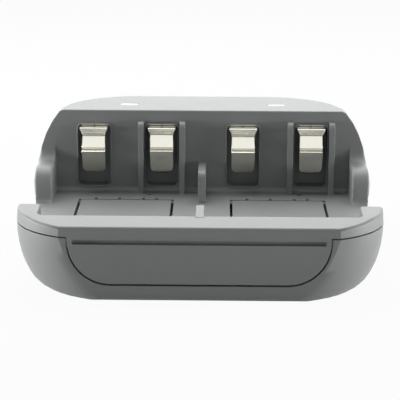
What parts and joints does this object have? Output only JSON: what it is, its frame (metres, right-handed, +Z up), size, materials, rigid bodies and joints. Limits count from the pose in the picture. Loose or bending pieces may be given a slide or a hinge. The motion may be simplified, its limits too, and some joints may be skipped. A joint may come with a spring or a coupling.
{
  "type": "battery charger",
  "caption": "Desk and wall charger for AA and AAA cells, with open bays side by side, leaf contacts, hinged floor flaps for the smaller cells and a fold-away mains plug.",
  "frame": {"origin": "under the middle of the case, on the surface that its flat back lies on", "axes": "+X to the right seen from the lip, +Y from the lip to the head, +Z up out of the bays"},
  "size_m": [0.08, 0.0895, 0.0288],
  "materials": {
    "case_plastic": "fine spark texture",
    "clear_plastic": "milky",
    "led_package": "moulded",
    "board": "solder mask",
    "winding": "taped core",
    "can_sleeve": "shrunk sleeve",
    "fuse_body": "glazed",
    "chip_body": "moulded",
    "rotor_plastic": "moulded",
    "retainer_plastic": "moulded",
    "nickel_strip": "nickel plated",
    "plated_brass": "nickel plated",
    "brass_strip": "rolled",
    "screw_steel": "zinc plated"
  },
  "bodies": {
    "case": {"bottom_shell": "case_plastic", "top_shell": "case_plastic", "head_contact_1": "nickel_strip", "head_contact_2": "nickel_strip", "head_contact_3": "nickel_strip", "head_contact_4": "nickel_strip", "near_contact_1": "nickel_strip", "near_contact_2": "nickel_strip", "near_contact_3": "nickel_strip", "near_contact_4": "nickel_strip", "flap_terminal_1": "nickel_strip", "flap_terminal_2": "nickel_strip", "flap_terminal_3": "nickel_strip", "flap_terminal_4": "nickel_strip", "light_pipe_left": "clear_plastic", "light_pipe_right": "clear_plastic", "led_left": "led_package", "led_right": "led_package", "circuit_board": "board", "transformer": "winding", "input_capacitor": "can_sleeve", "output_capacitor": "can_sleeve", "fuse": "fuse_body", "controller_chip": "chip_body", "plug_terminal_left": "brass_strip", "plug_terminal_right": "brass_strip", "plug_retainer": "retainer_plastic", "housing_screws": "screw_steel"},
    "left_flap": {"flap_left": "case_plastic", "flap_contact_1": "nickel_strip", "flap_contact_2": "nickel_strip"},
    "right_flap": {"flap_right": "case_plastic", "flap_contact_3": "nickel_strip", "flap_contact_4": "nickel_strip"},
    "plug": {"plug_rotor": "rotor_plastic", "plug_blade_left": "plated_brass", "plug_blade_right": "plated_brass"}
  },
  "joints": [
    {"name": "left_flap_hinge", "type": "hinge", "parent": "case", "child": "left_flap", "pos_m": [-0.01815, 0.00905, 0.0078], "axis": [-1, 0, 0], "range_deg": [0, 98]},
    {"name": "right_flap_hinge", "type": "hinge", "parent": "case", "child": "right_flap", "pos_m": [0.01815, 0.00905, 0.0078], "axis": [-1, 0, 0], "range_deg": [0, 98]},
    {"name": "plug_hinge", "type": "hinge", "parent": "case", "child": "plug", "pos_m": [0, 0.03775, 0.0039], "axis": [1, 0, 0], "range_deg": [0, 90]}
  ]
}
